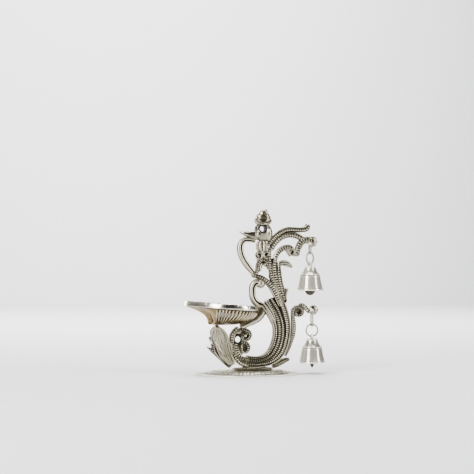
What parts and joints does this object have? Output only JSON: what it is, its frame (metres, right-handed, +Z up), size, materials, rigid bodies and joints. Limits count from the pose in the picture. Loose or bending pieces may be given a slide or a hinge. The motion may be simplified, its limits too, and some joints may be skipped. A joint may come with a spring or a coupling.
{
  "type": "diya stand",
  "caption": "Peacock oil lamp stand: an oval foot carries curling feather strands that hold a spouted fluted bowl in front and bells that hang on links and rings behind.",
  "frame": {"origin": "centre of the flat underside of the oval foot", "axes": "+Z up; the bowl's spout points to -X, the bells hang at +X, the front faces -Y"},
  "size_m": [0.1428, 0.068, 0.1666],
  "materials": {
    "antique_silver": "silver plated, antiqued: bright ridges and dark recesses",
    "bright_silver": "silver plated, polished",
    "steel": "plain"
  },
  "bodies": {
    "stand": {"foot_plate": "antique_silver", "foot_screw_1": "steel", "foot_screw_2": "steel", "tail_sweep": "antique_silver", "front_scroll": "antique_silver", "neck_strands": "antique_silver", "neck_panel": "antique_silver", "upper_bracket": "antique_silver", "peacock_head": "antique_silver", "head_crest": "antique_silver", "beak_loop": "antique_silver", "throat_curl": "antique_silver", "bowl_arm": "antique_silver", "leaf_cup": "antique_silver", "rear_leaf": "antique_silver", "lower_bracket": "antique_silver", "diya_bowl": "bright_silver"},
    "upper_link": {"upper_link": "bright_silver"},
    "upper_ring": {"upper_ring": "bright_silver"},
    "upper_bell": {"upper_bell": "bright_silver", "upper_staple": "steel"},
    "upper_clapper": {"upper_clapper": "bright_silver"},
    "lower_link": {"lower_link": "bright_silver"},
    "lower_ring": {"lower_ring": "bright_silver"},
    "lower_bell": {"lower_bell": "bright_silver", "lower_staple": "steel"},
    "lower_clapper": {"lower_clapper": "bright_silver"}
  },
  "joints": [
    {"name": "upper_link_swing", "type": "hinge", "parent": "stand", "child": "upper_link", "pos_m": [0.0642, 0, 0.12955], "axis": [0, -1, 0], "range_deg": [-9, 75]},
    {"name": "upper_ring_swing", "type": "hinge", "parent": "upper_link", "child": "upper_ring", "pos_m": [0.0642, 0, 0.12205], "axis": [0.7431, 0.6691, 0], "range_deg": [-45, 45]},
    {"name": "upper_bell_swing", "type": "hinge", "parent": "upper_ring", "child": "upper_bell", "pos_m": [0.0642, 0, 0.11005], "axis": [0.7431, 0.6691, 0], "range_deg": [-45, 45]},
    {"name": "upper_clapper_swing", "type": "hinge", "parent": "upper_bell", "child": "upper_clapper", "pos_m": [0.0642, 0, 0.10105], "axis": [0, 1, 0], "range_deg": [-18, 18]},
    {"name": "lower_link_swing", "type": "hinge", "parent": "stand", "child": "lower_link", "pos_m": [0.066, 0, 0.06255], "axis": [0, -1, 0], "range_deg": [-9, 75]},
    {"name": "lower_ring_swing", "type": "hinge", "parent": "lower_link", "child": "lower_ring", "pos_m": [0.066, 0, 0.04945], "axis": [1, 0, 0], "range_deg": [-60, 60]},
    {"name": "lower_bell_swing", "type": "hinge", "parent": "lower_ring", "child": "lower_bell", "pos_m": [0.066, 0, 0.03745], "axis": [1, 0, 0], "range_deg": [-60, 60]},
    {"name": "lower_clapper_swing", "type": "hinge", "parent": "lower_bell", "child": "lower_clapper", "pos_m": [0.066, 0, 0.02845], "axis": [-1, 0, 0], "range_deg": [-18, 18]}
  ]
}
